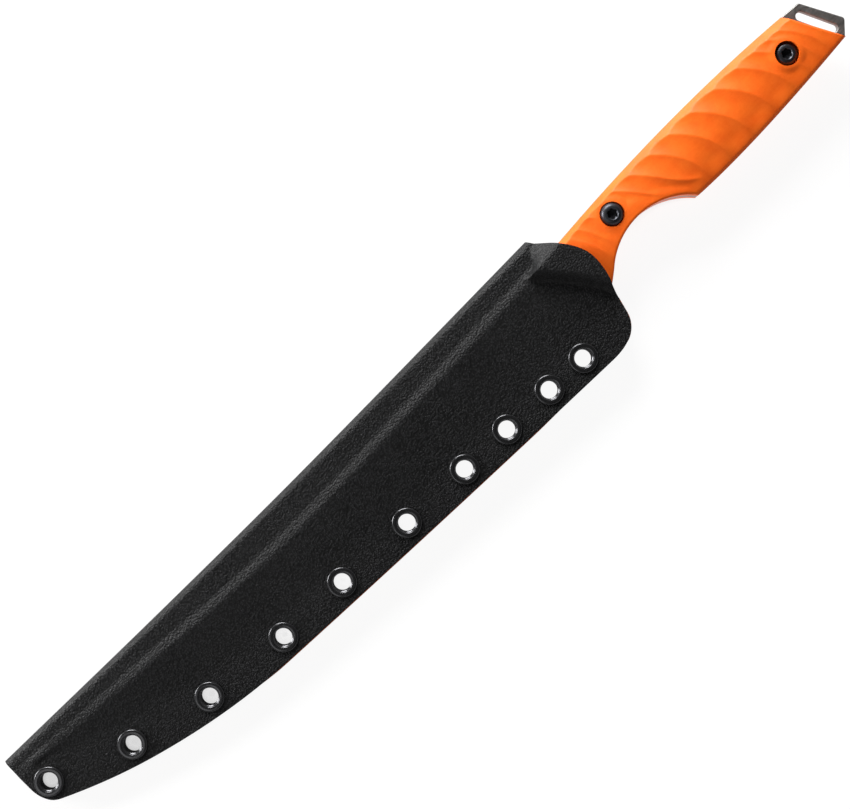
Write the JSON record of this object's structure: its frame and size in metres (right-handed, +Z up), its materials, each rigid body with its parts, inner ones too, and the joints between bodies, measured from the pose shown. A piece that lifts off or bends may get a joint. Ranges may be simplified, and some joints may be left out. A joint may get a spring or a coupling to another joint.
{
  "type": "sheathed fixed-blade knife",
  "caption": "Long fixed-blade knife with carved orange handle scales, held in a black folded plastic sheath with a row of eyelets; the knife draws out.",
  "frame": {"origin": "on the ground under the middle of the whole, lying on its back", "axes": "+X from the sheath's tip to the handle's butt, +Y from the cutting edge to the spine, +Z up out of the front face"},
  "size_m": [0.3802, 0.0496, 0.0182],
  "materials": {
    "blade_steel": "stonewashed",
    "handle_orange": "satin laminate",
    "screw_black": "black oxide",
    "barrel_steel": "turned",
    "sheath_black": "fine pebbled grain",
    "welt_orange": "satin",
    "eyelet_black": "black, semi-gloss"
  },
  "bodies": {
    "sheath": {"sheath_shell": "sheath_black", "edge_welt": "welt_orange", "eyelet_01": "eyelet_black", "eyelet_02": "eyelet_black", "eyelet_03": "eyelet_black", "eyelet_04": "eyelet_black", "eyelet_05": "eyelet_black", "eyelet_06": "eyelet_black", "eyelet_07": "eyelet_black", "eyelet_08": "eyelet_black", "eyelet_09": "eyelet_black", "eyelet_10": "eyelet_black"},
    "knife": {"blade": "blade_steel", "handle_scale_front": "handle_orange", "handle_scale_back": "handle_orange", "barrel_neck": "barrel_steel", "screw_neck_front": "screw_black", "screw_neck_back": "screw_black", "barrel_butt": "barrel_steel", "screw_butt_front": "screw_black", "screw_butt_back": "screw_black"}
  },
  "joints": [
    {"name": "knife_draw", "type": "slide", "parent": "sheath", "child": "knife", "axis": [0.9998, 0, 0.0187], "range_m": [0, 0.26]}
  ]
}
